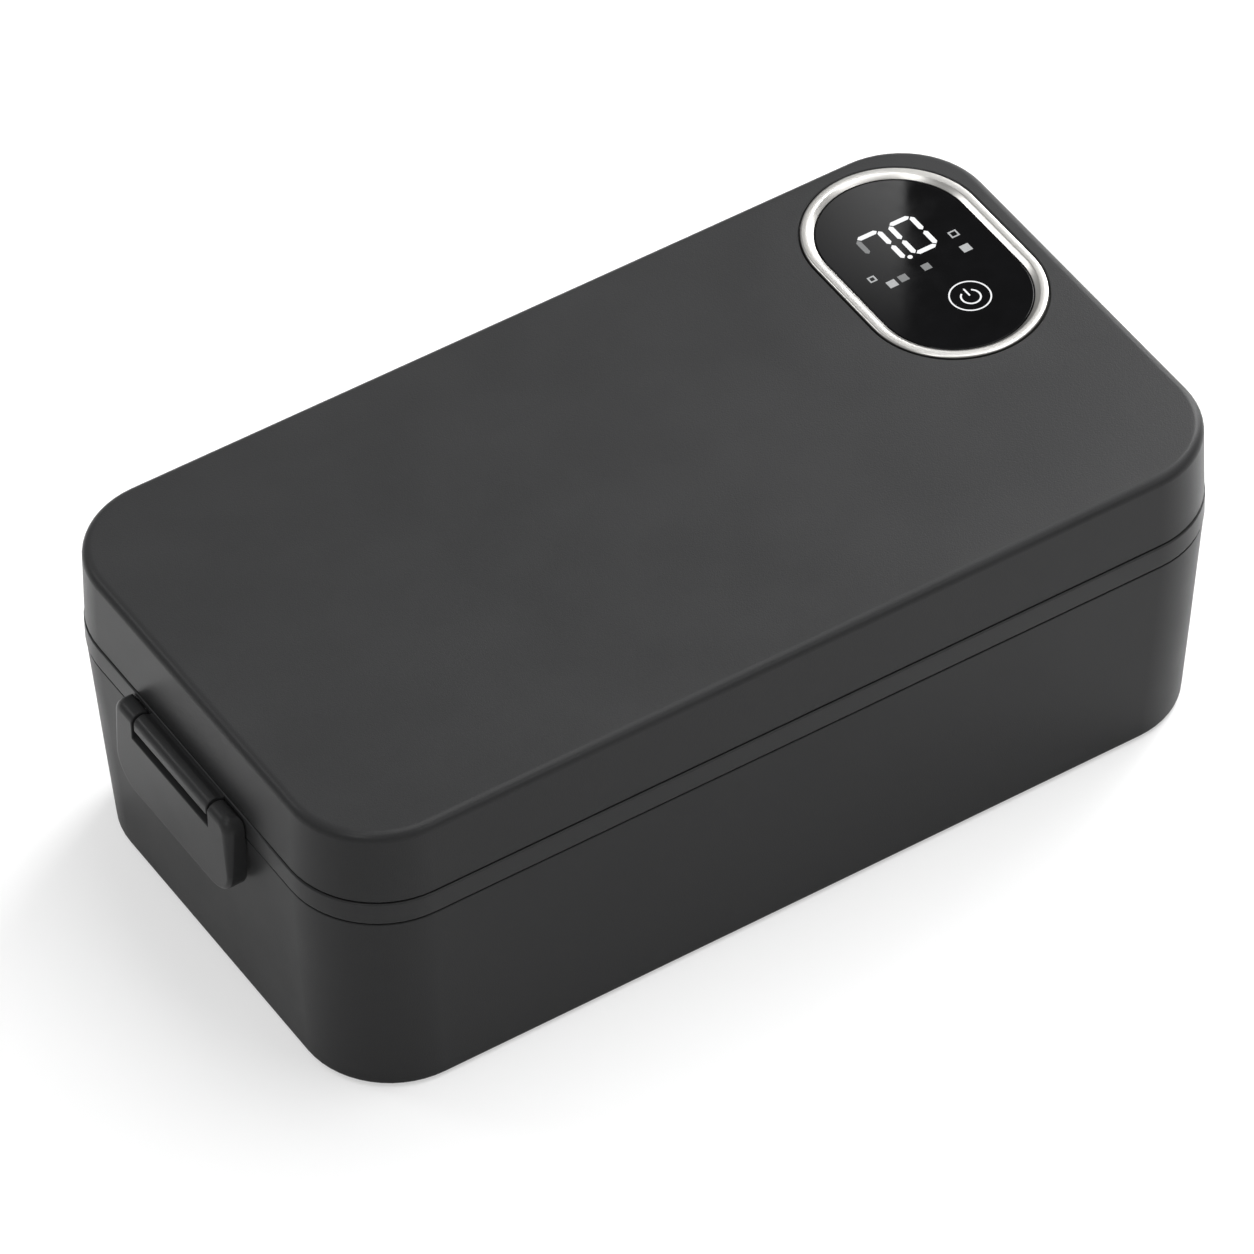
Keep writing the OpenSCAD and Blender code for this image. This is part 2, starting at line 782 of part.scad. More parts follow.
module lid_frame() {
    ear_w = (latch_w - barrel_w) / 2;
    color("#39393a")
    difference() {
        union() {
            difference() {
                union() {
                    loop(case_l + 2 * band_proud, case_w + 2 * band_proud, case_r + band_proud,
                        wall + band_proud, band_z, band_top);
                    loop(in_l + blend, in_w + blend, in_r + blend / 2, flange_w + blend / 2,
                        band_top - flange_t, band_top);
                    loop(in_l - 2 * fit, in_w - 2 * fit, in_r - fit, lip_t,
                        band_top - blend, band_top + lip_h);
                }
                hinge_reliefs();
                for (side = [-1, 1])
                    along_y(latch_x, latch_y + side * (barrel_w + ear_w) / 2, latch_z,
                        ear_w + latch_gap, barrel_r + hinge_gap);
                for (p = lid_posts) {
                    translate([p.x, p.y, band_top]) cylinder(h = lip_h + cut, r = post_r + fit);
                    translate([p.x, p.y, band_top - flange_t - cut])
                        cylinder(h = flange_t + 2 * cut, r = screw_r + fit);
                }
            }
            for (y = [-1, 1])
                knuckle(y * lid_knuckle_y, lid_knuckle, 1);
            latch_barrel();
        }
        for (y = [-1, 1])
            along_y(hinge_x, y * lid_knuckle_y, hinge_z, lid_knuckle + hinge_gap, pin_hole_r);
        along_y(latch_x, latch_y, latch_z, barrel_w + cut, latch_pin_r + run);
        lid_wire_hole();
    }
}

module lid_inner_plate() {
    color("#9fa1a3")
    difference() {
        union() {
            slab(in_l - 2 * fit, in_w - 2 * fit, in_r - fit, plate_z, plate_z + plate_t);
            loop(seal_l + 2 * (seal_rib + fit), seal_wide + 2 * (seal_rib + fit),
                seal_r + seal_rib + fit, seal_rib, plate_z - seal_h, plate_z);
            loop(seal_l - 2 * (seal_w + fit), seal_wide - 2 * (seal_w + fit),
                seal_r - seal_w - fit, seal_rib, plate_z - seal_h, plate_z);
        }
        for (p = lid_posts)
            translate([p.x, p.y, plate_z]) screw_hole(plate_t + cut, screw_r);
    }
}

module lid_seal() {
    color("#d9d9d6") {
        loop(seal_l, seal_wide, seal_r, seal_w, plate_z - seal_h, plate_z);
        loop(seal_l - seal_w / 2, seal_wide - seal_w / 2, seal_r - seal_w / 4, seal_w / 2,
            rim_z + seal_gap, plate_z - seal_h);
    }
}

module lid_insulation() {
    color("#cfd0cc")
    slab(in_l - 2 * (flange_w + 3 * fit), in_w - 2 * (flange_w + 3 * fit),
        in_r - flange_w, plate_z + plate_t, plate_z + plate_t + foam_h);
}

module lid_screws() {
    color("silver")
    for (p = lid_posts)
        translate([p.x, p.y, plate_z]) screw(screw_l, screw_r);
}

module lid_cover() {
    edge_x = case_r - cover_draft - cover_edge;
    edge_z = case_top - cover_edge;
    color("#3b3c3d")
    difference() {
        union() {
            middle(case_l, case_w, case_r, case_top - wall, case_top);
            carried(case_l, case_w, case_r)
                polygon(concat(
                    [[case_r, cover_z]],
                    arc(edge_x, edge_z, cover_edge, 0, 90),
                    [[0, case_top], [0, case_top - wall]],
                    arc(edge_x, edge_z, max(cover_edge - wall, fit), 90, 0),
                    [[in_r, cover_z]]));
            intersection() {
                disp_slab(disp_w / 2 + pad_wide, pad_bottom, case_top - wall + blend);
                slab(in_l + blend, in_w + blend, in_r + blend / 2, pad_bottom, case_top);
            }
            for (p = lid_posts)
                translate([p.x, p.y, band_top]) cylinder(h = post_h, r = post_r);
        }
        disp_slab(disp_w / 2 + ring_gap, ring_z, case_top + cut);
        disp_slab(disp_w / 2 - ring_ledge, pad_bottom - cut, case_top + cut);
        for (p = lid_posts)
            translate([p.x, p.y, plate_z]) cylinder(h = screw_l + tip_gap, r = screw_r + run);
        for (p = lug_spots)
            translate([p.x, p.y, pad_bottom - cut]) cylinder(h = cut + lug_t, r = small_screw_r + run);
        lid_wire_hole();
    }
}

// Display

// A side outline carried round the display's stadium, x counted outwards from its middle line
module disp_carried() {
    straight = disp_l - disp_w;
    translate([disp_x, disp_y, 0])
        for (turn = [0, 180])
            rotate(turn) {
                translate([0, straight / 2, 0]) rotate_extrude(angle = 180) children();
                translate([0, straight / 2, 0]) rotate([90, 0, 0]) linear_extrude(straight) children();
            }
}

module display_ring() {
    out = disp_w / 2;
    inside = out - ring_w;
    color("#c3c1bc")
    disp_carried()
        polygon(concat(
            [[inside, ring_z], [out, ring_z]],
            arc(out - ring_round, ring_top - ring_round, ring_round, 0, 90),
            [[inside + ring_slope, ring_top], [inside, ring_top - glass_sink]]));
}

module display_glass() {
    color("#0a0a0c") disp_slab(disp_w / 2 - ring_w - fit, glass_z, glass_z + glass_t);
}

module display_tray() {
    color("#202122")
    difference() {
        union() {
            disp_slab(tray_out, tray_z, glass_z - run);
            for (p = lug_spots)
                translate([p.x, p.y, pad_bottom - run - lug_t]) cylinder(h = lug_t, r = tray_lug_r);
        }
        disp_slab(tray_out - tray_t, tray_z + tray_t, glass_z + cut);
        for (p = lug_spots)
            translate([p.x, p.y, pad_bottom - run - lug_t]) screw_hole(lug_t + cut, small_screw_r);
        translate([harness_x, harness_y, tray_z - cut]) cylinder(h = tray_t + 2 * cut, r = 2 * wire_r);
    }
}

module tray_screws() {
    color("silver")
    for (p = lug_spots)
        translate([p.x, p.y, pad_bottom - run - lug_t]) screw(2 * lug_t - 2 * fit, small_screw_r);
}

module display_board() {
    color("#1f5a35") disp_slab(tray_out - tray_t - 2 * fit, disp_board_z, disp_board_z + board_t);
}

// One bar of a digit, with pointed ends, lying along X
module bar(length, w) {
    polygon([[-length / 2, 0], [-length / 2 + w / 2, w / 2], [length / 2 - w / 2, w / 2],
        [length / 2, 0], [length / 2 - w / 2, -w / 2], [-length / 2 + w / 2, -w / 2]]);
}

// The digit's bars are numbered from the top clockwise, with the middle one last
module digit(bars) {
    half = digit_h / 2;
    for (b = bars)
        if (b == 0 || b == 3 || b == 6)
            translate([0, b == 0 ? half : b == 3 ? -half : 0]) bar(digit_w - bar_gap, bar_w);
        else
            translate([(b < 3 ? 1 : -1) * digit_w / 2, (b == 1 || b == 5 ? 1 : -1) * half / 2])
                rotate(90) bar(half - bar_gap, bar_w);
}

module digits() {
    translate([digit_x, digit_y]) digit([0, 1, 2]);
    translate([digit_x + digit_pitch, digit_y]) digit([0, 1, 2, 3, 4, 5]);
    translate([digit_x + digit_pitch / 2, digit_y - digit_h / 2]) circle(bar_w / 2);
}

module digit_module() {
    bottom = disp_board_z + board_t;
    color("#15161a")
    translate([digit_x - digit_w / 2 - digit_rim, digit_y - digit_h / 2 - digit_rim, bottom])
        cube([digit_pitch + digit_w + 2 * digit_rim, digit_h + 2 * digit_rim, glass_z - bottom - 3 * fit]);
    color("white")
    translate([0, 0, glass_z - 3 * fit]) linear_extrude(2 * fit) digits();
}

module icon_light_guide() {
    bottom = disp_board_z + board_t;
    color("#e8e8ea")
    translate([digit_x - digit_w / 2 - icon_over, digit_y - digit_h / 2 - icon_gap - icon_w, bottom])
        cube([digit_pitch + digit_w + 2 * icon_over, icon_w, glass_z - bottom - 2 * fit]);
}

module touch_pad() {
    bottom = disp_board_z + board_t;
    color("#b98a4e")
    translate([key_x, key_y, bottom]) cylinder(h = glass_z - bottom - fit, r = key_r);
}

module lid_harness() {
    color("#2b2b2b")
    wire([
        [hinge_x, middle_w / 2 + hinge_gap + run, hinge_z],
        [hinge_x, lid_wire_y, hinge_z],
        [hinge_x - lid_wire_run, lid_wire_y, hinge_z + lid_wire_rise],
        [harness_x + wire_bend, harness_y, plate_z + plate_t + foam_h + 2 * wire_r],
        [harness_x, harness_y, plate_z + plate_t + foam_h + 2 * wire_r],
        [harness_x, harness_y, disp_board_z - run]], wire_r);
}

// Latch

module flap_outline(inset, top) {
    w = latch_w / 2 - inset;
    low = flap_z + inset;
    r = latch_r - inset;
    translate([-w, low + r]) square([2 * w, top - low - r]);
    translate([r - w, low]) square([2 * (w - r), r + fit]);
    for (y = [-1, 1])
        translate([y * (w - r), low + r]) circle(r);
}

module flap_slab(inset, top, x1, x2) {
    translate([x1, latch_y, 0]) rotate([90, 0, 90]) linear_extrude(x2 - x1) flap_outline(inset, top);
}

module latch_flap() {
    outer = latch_x - barrel_r;
    inner = -wall_x - latch_clear;
    hook_x = -wall_x - catch_reach - fit;
    notch_w = barrel_w + 2 * latch_gap;
    notch_z = latch_z - notch_drop;
    color("#3d3e3f")
    difference() {
        union() {
            difference() {
                flap_slab(0, latch_z, outer, inner);
                flap_slab(latch_t, notch_z - latch_t, outer + latch_t, inner + cut);
                translate([hook_x, latch_y - notch_w / 2, flap_z - cut])
                    cube([latch_proud, notch_w, notch_z - latch_t - flap_z + cut]);
            }
            along_y(latch_x, latch_y, latch_z, latch_w, barrel_r);
            translate([outer + latch_t - blend, latch_y - barrel_w / 2, catch_z - catch_h - fit - hook_h])
                cube([hook_x - outer - latch_t + blend, barrel_w, hook_h]);
        }
        translate([outer - cut, latch_y - notch_w / 2, notch_z])
            cube([latch_proud + 2 * cut, notch_w, latch_rise + 3 * barrel_r]);
        along_y(latch_x, latch_y, latch_z, latch_pin_l + 2 * run, latch_pin_r + run);
    }
}

module latch_pin() {
    color("silver") along_y(latch_x, latch_y, latch_z, latch_pin_l, latch_pin_r);
}

base_shell();
bottom_cover();
cover_screws();
rubber_feet();
battery_holder();
battery_cells();
cell_tabs();
power_board();
board_screws();
charging_socket();
battery_leads();
heater_leads();
insulation_pad();
heater_film();
heating_plate();
temperature_sensor();
thermal_fuse();
heating_well();
well_screws();
food_pot();
base_harness();
hinge_pins();
lid_frame();
lid_inner_plate();
lid_seal();
lid_insulation();
lid_screws();
lid_cover();
display_ring();
display_glass();
display_tray();
tray_screws();
display_board();
digit_module();
icon_light_guide();
touch_pad();
lid_harness();
latch_flap();
latch_pin();
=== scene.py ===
import json
import math

import bmesh
import bpy
from mathutils import Matrix, Vector
from mathutils.geometry import tessellate_polygon


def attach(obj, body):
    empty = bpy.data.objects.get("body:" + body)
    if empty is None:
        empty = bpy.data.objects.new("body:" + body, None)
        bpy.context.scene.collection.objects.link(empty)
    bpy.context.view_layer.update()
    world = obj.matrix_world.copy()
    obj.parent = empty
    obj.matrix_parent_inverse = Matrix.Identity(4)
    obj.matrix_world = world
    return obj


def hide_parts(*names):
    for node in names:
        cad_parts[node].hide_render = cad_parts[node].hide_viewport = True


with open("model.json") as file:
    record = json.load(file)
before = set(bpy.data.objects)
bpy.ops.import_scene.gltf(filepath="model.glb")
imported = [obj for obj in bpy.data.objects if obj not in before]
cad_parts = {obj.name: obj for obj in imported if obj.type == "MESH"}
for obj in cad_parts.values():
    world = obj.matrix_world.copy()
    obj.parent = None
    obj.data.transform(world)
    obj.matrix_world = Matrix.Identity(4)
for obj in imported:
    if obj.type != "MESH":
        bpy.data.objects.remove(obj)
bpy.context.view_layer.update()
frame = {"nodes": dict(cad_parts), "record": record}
nodes = frame["nodes"]
MM = 0.001

# Sizes in millimetres, equal to the solids' apart from the parting lines, which are wider here
CASE_L, CASE_W, CASE_R = 240.0, 129.0, 23.0
BASE_Z, BASE_TOP = 0.8, 57.3
BAND_Z, BAND_TOP = 57.8, 63.95
COVER_Z, CASE_TOP = 64.4, 84.8
DRAFT, WALL = 3.0, 2.4

# Axis in X and Z, and radius
HINGE = (122.7, 57.55, 2.7)
LATCH = (-122.7, 62.0, 2.7)
# Middle and width of each hinge knuckle along Y
BASE_KNUCKLES = ((-25, 10), (0, 13.4), (25, 10))
LID_KNUCKLES = ((-13.35, 12.7), (13.35, 12.7))

LATCH_Y, LATCH_W, BARREL_W = 2.0, 49.5, 31.4
FLAP_OUT, FLAP_IN, FLAP_LOW, FLAP_R = -125.4, -120.5, 39.7, 8.5
POCKET_TOP = 55.7

DISP = (92.5, 25.2)
DISP_W, DISP_L, RING_W = 44.0, 68.0, 3.2
RING_TOP, GLASS_TOP = 85.2, 84.3
# Seat of the ring, and lower end of the opening under it
SEAT_Z, OPENING_Z = 83.2, 80.8
SIDES = (-1, 1)
CORNER_STEPS = 14


# Materials

MATS = {}


def shader(name, color, rough, metallic=0.0, **sockets):
    """A principled material, kept in MATS, with its tree; sockets are uniform values set on the shader."""
    m = bpy.data.materials.new(name)
    MATS[name] = m
    m.use_nodes = True
    b = m.node_tree.nodes["Principled BSDF"]
    b.inputs["Base Color"].default_value = (*color, 1)
    b.inputs["Roughness"].default_value = rough
    b.inputs["Metallic"].default_value = metallic
    for k, v in sockets.items():
        b.inputs[k.replace("_", " ")].default_value = v
    return m.node_tree, b


def add(tree, kind, **values):
    """A node; values are its properties or sockets."""
    n = tree.nodes.new(kind)
    for k, v in values.items():
        if k in n.bl_rna.properties:
            setattr(n, k, v)
        else:
            n.inputs[k.replace("_", " ")].default_value = v
    return n


def coords(tree, scale):
    c = add(tree, "ShaderNodeTexCoord")
    m = add(tree, "ShaderNodeMapping")
    m.inputs["Scale"].default_value = scale
    tree.links.new(c.outputs["Object"], m.inputs["Vector"])
    return m.outputs["Vector"]


def noise(tree, scale, detail, rough=0.5, stretch=(1, 1, 1)):
    n = add(tree, "ShaderNodeTexNoise", Scale=scale, Detail=detail, Roughness=rough)
    tree.links.new(coords(tree, stretch), n.inputs["Vector"])
    return n.outputs["Fac"]


def ramp(tree, fac, low, high, a, b):
    """Maps fac from low..high to a..b, clamped."""
    n = add(tree, "ShaderNodeMapRange")
    for k, v in (("From Min", low), ("From Max", high), ("To Min", a), ("To Max", b)):
        n.inputs[k].default_value = v
    tree.links.new(fac, n.inputs["Value"])
    return n.outputs["Result"]


def tint(tree, fac, one, two):
    """A colour between two."""
    n = add(tree, "ShaderNodeMix", data_type="RGBA")
    # the colour sockets of the mix node share their names with the float ones
    n.inputs[6].default_value = (*one, 1)
    n.inputs[7].default_value = (*two, 1)
    tree.links.new(fac, n.inputs[0])
    return n.outputs[2]


def bump(tree, bsdf, height, distance):
    n = add(tree, "ShaderNodeBump", Strength=1.0, Distance=distance)
    tree.links.new(height, n.inputs["Height"])
    tree.links.new(n.outputs["Normal"], bsdf.inputs["Normal"])


def plastic(name, color, rough, grain=3200, depth=0.00003, spread=0.12, **sockets):
    """Moulded plastic: a fine spark texture with slow changes of tone and gloss."""
    t, b = shader(name, color, rough, **sockets)
    fine = noise(t, grain, 1.0)
    slow = noise(t, 28, 3.0, 0.6)
    dark = tuple(c * (1 - spread) for c in color)
    light = tuple(c * (1 + spread) for c in color)
    mixed = add(t, "ShaderNodeMath", operation="MULTIPLY_ADD")
    t.links.new(slow, mixed.inputs[0])
    mixed.inputs[1].default_value = 0.5
    half = add(t, "ShaderNodeMath", operation="MULTIPLY")
    t.links.new(fine, half.inputs[0])
    half.inputs[1].default_value = 0.5
    t.links.new(half.outputs[0], mixed.inputs[2])
    t.links.new(tint(t, ramp(t, mixed.outputs[0], 0.35, 0.65, 0, 1), dark, light), b.inputs["Base Color"])
    t.links.new(ramp(t, slow, 0.3, 0.7, rough - 0.04, rough + 0.05), b.inputs["Roughness"])
    bump(t, b, fine, depth)


def metal(name, color, rough, brush, scale, depth=0.000003):
    """Metal with brush lines along the axis whose stretch is small."""
    t, b = shader(name, color, rough, 1.0)
    lines = noise(t, scale, 3.0, 0.6, brush)
    slow = noise(t, 30, 2.0)
    t.links.new(ramp(t, lines, 0.3, 0.7, rough - 0.03, rough + 0.05), b.inputs["Roughness"])
    t.links.new(tint(t, ramp(t, slow, 0.3, 0.7, 0, 1), tuple(c * 0.93 for c in color), color),
                b.inputs["Base Color"])
    bump(t, b, lines, depth)


CHARCOAL = (0.028, 0.0282, 0.0288)
LID_CHARCOAL = (0.026, 0.0262, 0.0268)

plastic("case_plastic", CHARCOAL, 0.38, spread=0.05, Specular_IOR_Level=0.09)
plastic("lid_plastic", LID_CHARCOAL, 0.35, spread=0.05, Specular_IOR_Level=0.115)
plastic("frame_plastic", CHARCOAL, 0.33, spread=0.05, Specular_IOR_Level=0.12)
plastic("latch_plastic", CHARCOAL, 0.34, spread=0.05, Specular_IOR_Level=0.11)
plastic("cover_plastic", (0.036, 0.037, 0.038), 0.58)
plastic("inner_plastic", (0.03, 0.03, 0.032), 0.5)
plastic("well_plastic", (0.26, 0.27, 0.28), 0.5, spread=0.05)
plastic("socket_plastic", (0.008, 0.008, 0.009), 0.35)
plastic("foot_rubber", (0.012, 0.012, 0.012), 0.85, grain=1800)
plastic("seal_silicone", (0.62, 0.62, 0.60), 0.5, spread=0.03, Subsurface_Weight=0.15)
metal("screw_steel", (0.55, 0.56, 0.58), 0.28, (1, 1, 1), 2500)
metal("pin_steel", (0.6, 0.6, 0.62), 0.22, (1, 0.05, 1), 3000)
metal("pot_steel", (0.62, 0.62, 0.62), 0.24, (0.03, 1, 0.6), 1400)
metal("plate_aluminium", (0.72, 0.73, 0.74), 0.4, (0.05, 1, 1), 1200)
metal("nickel", (0.66, 0.63, 0.55), 0.3, (0.05, 1, 1), 2000)
metal("touch_copper", (0.72, 0.42, 0.25), 0.35, (1, 1, 1), 1500)
plastic("led_block", (0.02, 0.02, 0.022), 0.4)
plastic("light_guide", (0.75, 0.76, 0.78), 0.2, spread=0.02, Transmission_Weight=0.4)
plastic("circuit_board", (0.012, 0.1, 0.04), 0.35, grain=700, spread=0.25, Coat_Weight=0.4)
plastic("cell_wrap", (0.2, 0.25, 0.33), 0.3, grain=1200, depth=0.00006)
plastic("heater_amber", (0.45, 0.14, 0.04), 0.25, grain=500, spread=0.2, Coat_Weight=0.5)
plastic("insulation", (0.62, 0.58, 0.5), 0.9, grain=1500, depth=0.00025)
plastic("foam", (0.6, 0.61, 0.58), 0.9, grain=1400, depth=0.0003)
plastic("sensor_ceramic", (0.66, 0.63, 0.54), 0.6, spread=0.05)
plastic("fuse_body", (0.55, 0.4, 0.17), 0.4, spread=0.08)
plastic("wire_red", (0.35, 0.02, 0.02), 0.4, grain=900)
plastic("wire_grey", (0.5, 0.5, 0.5), 0.45, grain=900)
plastic("wire_black", (0.015, 0.015, 0.016), 0.4, grain=900)


def ring_metal():
    """Silver ring, brushed along its own run: the lines follow the distance from its middle line."""
    t, b = shader("ring_steel", (0.52, 0.512, 0.492), 0.28, 1.0)

    def calc(operation, *values):
        n = add(t, "ShaderNodeMath", operation=operation)
        for i, v in enumerate(values):
            if isinstance(v, (int, float)):
                n.inputs[i].default_value = v
            else:
                t.links.new(v, n.inputs[i])
        return n.outputs[0]

    c = add(t, "ShaderNodeTexCoord")
    place = add(t, "ShaderNodeSeparateXYZ")
    t.links.new(c.outputs["Object"], place.inputs[0])
    dx = calc("SUBTRACT", place.outputs[0], DISP[0] * MM)
    dy = calc("SUBTRACT", place.outputs[1], DISP[1] * MM)
    over = calc("MAXIMUM", calc("SUBTRACT", calc("ABSOLUTE", dy), (DISP_L - DISP_W) / 2 * MM), 0.0)
    far = calc("SQRT", calc("ADD", calc("MULTIPLY", dx, dx), calc("MULTIPLY", over, over)))
    lines = add(t, "ShaderNodeTexNoise", noise_dimensions="1D", Scale=1700, Detail=2.0)
    t.links.new(far, lines.inputs["W"])
    slow = noise(t, 45, 2.0)
    t.links.new(ramp(t, lines.outputs["Fac"], 0.3, 0.7, 0.29, 0.34), b.inputs["Roughness"])
    t.links.new(tint(t, ramp(t, slow, 0.3, 0.7, 0, 1), (0.5, 0.492, 0.472), (0.55, 0.542, 0.522)),
                b.inputs["Base Color"])


def black_glass():
    t, b = shader("display_glass", (0.0015, 0.0015, 0.0018), 0.03, IOR=1.45, Specular_IOR_Level=0.12)
    slow = noise(t, 160, 2.0)
    t.links.new(ramp(t, slow, 0.3, 0.7, 0.02, 0.045), b.inputs["Roughness"])
    t.links.new(tint(t, ramp(t, slow, 0.3, 0.7, 0, 1), (0.0012, 0.0012, 0.0014), (0.002, 0.002, 0.0024)),
                b.inputs["Base Color"])


def lit(name, color, strength):
    """A lit sign behind the glass, with the faint mottling of its diffuser."""
    t, b = shader(name, tuple(c * 0.04 for c in color), 0.35)
    b.inputs["Emission Strength"].default_value = strength
    slow = noise(t, 900, 2.0)
    t.links.new(tint(t, ramp(t, slow, 0.3, 0.7, 0, 1), tuple(c * 0.94 for c in color), color),
                b.inputs["Emission Color"])


ring_metal()
black_glass()
lit("display_light", (0.98, 0.99, 1.0), 0.93)
lit("display_dim", (0.9, 0.92, 0.93), 0.42)
lit("display_faint", (0.9, 0.92, 0.93), 0.15)

for item in frame["record"]["subparts"]:
    mesh = nodes[item["node"]].data
    mesh.materials.clear()
    mesh.materials.append(MATS[item["material_slot"]])


# Meshes

def fill(mesh, verts, faces):
    """Gives a mesh its points and its faces, all of them turned outwards."""
    mesh.from_pydata(verts, [], faces)
    mesh.validate()
    bm = bmesh.new()
    bm.from_mesh(mesh)
    bmesh.ops.recalc_face_normals(bm, faces=bm.faces)
    bm.to_mesh(mesh)
    bm.free()


def linked(name, data):
    """An object in the scene."""
    o = bpy.data.objects.new(name, data)
    bpy.context.scene.collection.objects.link(o)
    return o


def piece(name, shape, body, slot, replaced=None, look=None):
    """A smooth mesh that rides on a body; its shape is in millimetres. A sign has a look and stays flat."""
    verts, faces = shape
    me = bpy.data.meshes.new(name)
    fill(me, [tuple(c * MM for c in v) for v in verts], faces)
    me.materials.append(MATS[look or slot])
    o = linked(name, me)
    if look is None:
        me.shade_smooth()
        me.set_sharp_from_angle(angle=math.radians(38))
        w = o.modifiers.new("normals", "WEIGHTED_NORMAL")
        w.keep_sharp = True
        w.weight = 60
    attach(o, body)
    if replaced:
        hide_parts(replaced)


def rect(l, w, r, z):
    """Points round a rounded rectangle, the same number for each size."""
    pts = []
    for k, (sx, sy) in enumerate(((1, 1), (-1, 1), (-1, -1), (1, -1))):
        for i in range(CORNER_STEPS + 1):
            a = math.pi / 2 * (k + i / CORNER_STEPS)
            pts.append((sx * (l / 2 - r) + r * math.cos(a), sy * (w / 2 - r) + r * math.sin(a), z))
    return pts


def inset(d, z, r=None):
    """The case's outline moved in by d, on the corner radius that this leaves or on another one."""
    return rect(CASE_L - 2 * d, CASE_W - 2 * d, CASE_R - d if r is None else r, z)


def stadium(r, z, n=40):
    """Points round the display's outline at a radius, lying along Y."""
    pts = []
    for k in range(2):
        for i in range(n + 1):
            a = math.pi * (k + i / n)
            y = DISP[1] + (0.5 - k) * (DISP_L - DISP_W) + r * math.sin(a)
            pts.append((DISP[0] + r * math.cos(a), y, z))
    return pts


def skin(rings, wrap=False, caps=()):
    """Quads between rings of the same number of points. caps closes the first or last ring."""
    verts = [p for ring in rings for p in ring]
    n = len(rings[0])
    faces = []
    last = len(rings) if wrap else len(rings) - 1
    for k in range(last):
        a, b = k * n, (k + 1) % len(rings) * n
        for i in range(n):
            j = (i + 1) % n
            faces.append((a + i, a + j, b + j, b + i))
    for c in caps:
        base = 0 if c == 0 else (len(rings) - 1) * n
        faces.append(tuple(base + i for i in range(n)))
    return verts, faces


def merge(*parts):
    """Several shapes as one."""
    verts, faces = [], []
    for v, f in parts:
        k = len(verts)
        verts.extend(v)
        faces.extend(tuple(k + i for i in q) for q in f)
    return verts, faces


def arc(x, z, r, start, end, steps):
    """Points on a circle, from one angle in degrees to another."""
    turns = [math.radians(start + (end - start) * i / steps) for i in range(steps + 1)]
    return [(x + r * math.cos(a), z + r * math.sin(a)) for a in turns]


def disc(x, y, r, n):
    turns = [2 * math.pi * i / n for i in range(n)]
    return [(x + r * math.cos(a), y + r * math.sin(a)) for a in turns]


def soften(bm, angle, offset, segments, keep=None):
    """Rounds the edges sharper than an angle in degrees. keep says which of them, by their middle."""
    sharp = [e for e in bm.edges if len(e.link_faces) == 2 and e.calc_face_angle() > math.radians(angle)
             and (keep is None or keep((e.verts[0].co + e.verts[1].co) / 2))]
    bmesh.ops.bevel(bm, geom=sharp, offset=offset, segments=segments, profile=0.5, affect="EDGES",
                    clamp_overlap=True)


def shape_of(bm):
    """The points and faces of a bmesh, which is freed."""
    bm.verts.index_update()
    out = [tuple(v.co) for v in bm.verts], [tuple(v.index for v in f.verts) for f in bm.faces]
    bm.free()
    return out


def prism(points, a, b, axis, bevel=0.0, segments=3):
    """A polygon carried from a to b along an axis, its sharp edges rounded.

    The points are y, z for axis "x", x, z for "y" and x, y for "z".
    """
    place = {"x": lambda p, h: (h, p[0], p[1]), "y": lambda p, h: (p[0], h, p[1]),
             "z": lambda p, h: (p[0], p[1], h)}[axis]
    bm = bmesh.new()
    low = [bm.verts.new(place(p, a)) for p in points]
    high = [bm.verts.new(place(p, b)) for p in points]
    n = len(points)
    bm.faces.new(low)
    bm.faces.new(high[::-1])
    for i in range(n):
        bm.faces.new((low[i], high[i], high[(i + 1) % n], low[(i + 1) % n]))
    bmesh.ops.recalc_face_normals(bm, faces=bm.faces)
    if bevel:
        soften(bm, 30, bevel, segments)
    return shape_of(bm)


def knuckle(y, w, up):
    """A hinge knuckle with its fin: up is 1 on the lid and -1 on the base."""
    x, z, r = HINGE
    fin_in, fin_h, fin_out = x - 3.4, z + up * 6.2, x - r + 0.7
    pts = [(fin_in, z), (fin_in, fin_h), (fin_out, fin_h)] + arc(x, z, r, up * 64, up * -180, 24)
    return prism(pts, y - w / 2, y + w / 2, "y", 0.3)


def barrel_prism(points, bevel, segments=3):
    """A polygon in x, z as wide as the latch's barrel."""
    return prism(points, LATCH_Y - BARREL_W / 2, LATCH_Y + BARREL_W / 2, "y", bevel, segments)


